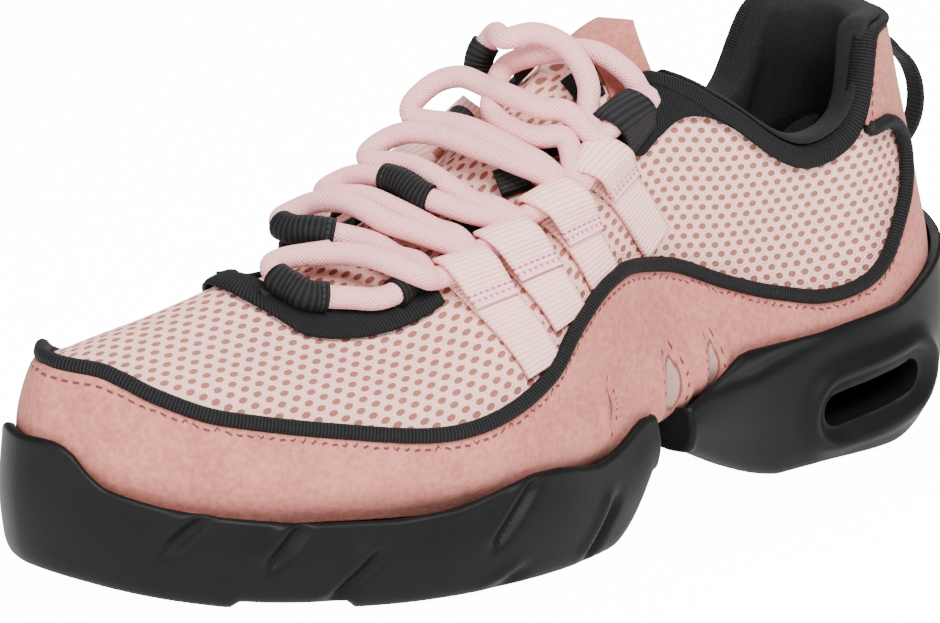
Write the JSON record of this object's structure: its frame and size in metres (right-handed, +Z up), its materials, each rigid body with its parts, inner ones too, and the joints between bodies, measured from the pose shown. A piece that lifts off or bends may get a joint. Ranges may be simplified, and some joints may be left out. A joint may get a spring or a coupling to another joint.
{
  "type": "dance sneaker",
  "caption": "Left split-sole dance sneaker with mesh upper, suede mudguard, padded collar, strap loops and laces.",
  "frame": {"origin": "on the ground under the middle of the shoe's bounding box", "axes": "+X from heel to toe, +Y to the outer side of the foot, +Z up"},
  "size_m": [0.279, 0.1024, 0.1223],
  "materials": {
    "air_mesh": "knitted spacer mesh",
    "black_lining": "brushed",
    "black_webbing": "woven",
    "pink_lace": "braided",
    "pink_webbing": "woven grosgrain",
    "sole_rubber": "satin",
    "suede": "napped"
  },
  "bodies": {
    "root": {"upper": "air_mesh", "forefoot_sole": "sole_rubber", "heel_sole": "sole_rubber", "insole": "black_lining", "suede_mudguard": "suede", "piping": "black_webbing", "tongue": "air_mesh", "throat_binding": "black_webbing", "collar_lining": "black_lining", "collar_band_outer": "black_webbing", "collar_band_inner": "black_webbing", "pull_loop": "black_webbing", "tongue_label": "black_webbing", "top_loop": "black_webbing", "strap_outer_1": "pink_webbing", "strap_inner_1": "pink_webbing", "strap_outer_2": "pink_webbing", "strap_inner_2": "pink_webbing", "strap_outer_3": "pink_webbing", "strap_inner_3": "pink_webbing", "strap_outer_4": "pink_webbing", "strap_inner_4": "pink_webbing", "far_tab_1": "black_webbing", "far_tab_2": "black_webbing", "far_tab_3": "black_webbing", "far_tab_4": "black_webbing", "far_tab_5": "black_webbing", "near_tab_1": "black_webbing", "near_tab_2": "black_webbing", "near_tab_3": "black_webbing", "lace": "pink_lace"}
  },
  "joints": []
}
